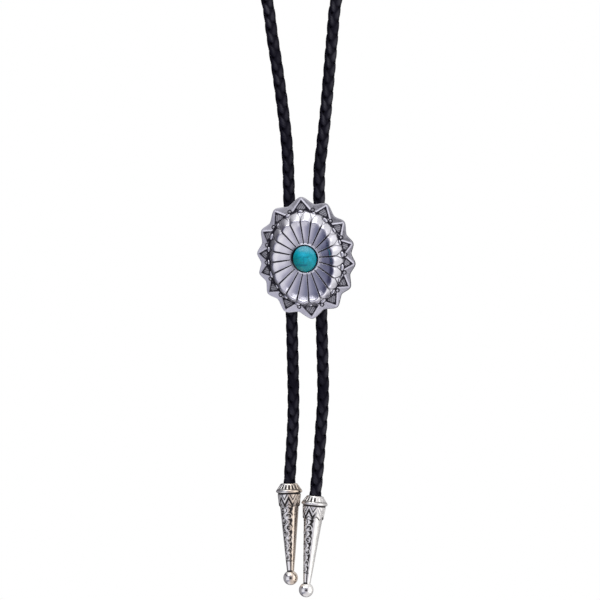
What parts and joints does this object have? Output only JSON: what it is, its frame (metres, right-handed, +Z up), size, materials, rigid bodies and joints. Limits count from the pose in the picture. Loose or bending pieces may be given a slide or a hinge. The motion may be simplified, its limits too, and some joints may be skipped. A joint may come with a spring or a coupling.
{
  "type": "bolo tie",
  "caption": "Bolo tie: a braided leather cord worn round the neck, drawn together by an oval fluted silver slide with a turquoise cabochon and ending in cast cone tips.",
  "frame": {"origin": "the point on the nape of the neck where the middle of the cord rests", "axes": "+Z up along the hanging tie, -Y to the wearer's front, where the slide faces, +X to the viewer's right from the front"},
  "size_m": [0.1251, 0.1577, 0.4207],
  "materials": {
    "leather": "black braided leather, soft sheen on the strands",
    "concho_silver": "antiqued silver plate on a cast alloy, brushed petals, dark oxidised recesses",
    "tip_silver": "antiqued silver plate on a cast alloy, polished high relief, dark recesses",
    "clip_steel": "plain plated spring steel",
    "turquoise": "polished teal turquoise with faint veining"
  },
  "bodies": {
    "cord": {"braided_cord": "leather", "tip_left": "tip_silver", "tip_right": "tip_silver"},
    "slide": {"concho": "concho_silver", "turquoise_cabochon": "turquoise", "slide_clip": "clip_steel"}
  },
  "joints": [
    {"name": "slide_run", "type": "slide", "parent": "cord", "child": "slide", "axis": [0.0225, 0.1022, -0.9945], "range_m": [0, 0.05]}
  ]
}
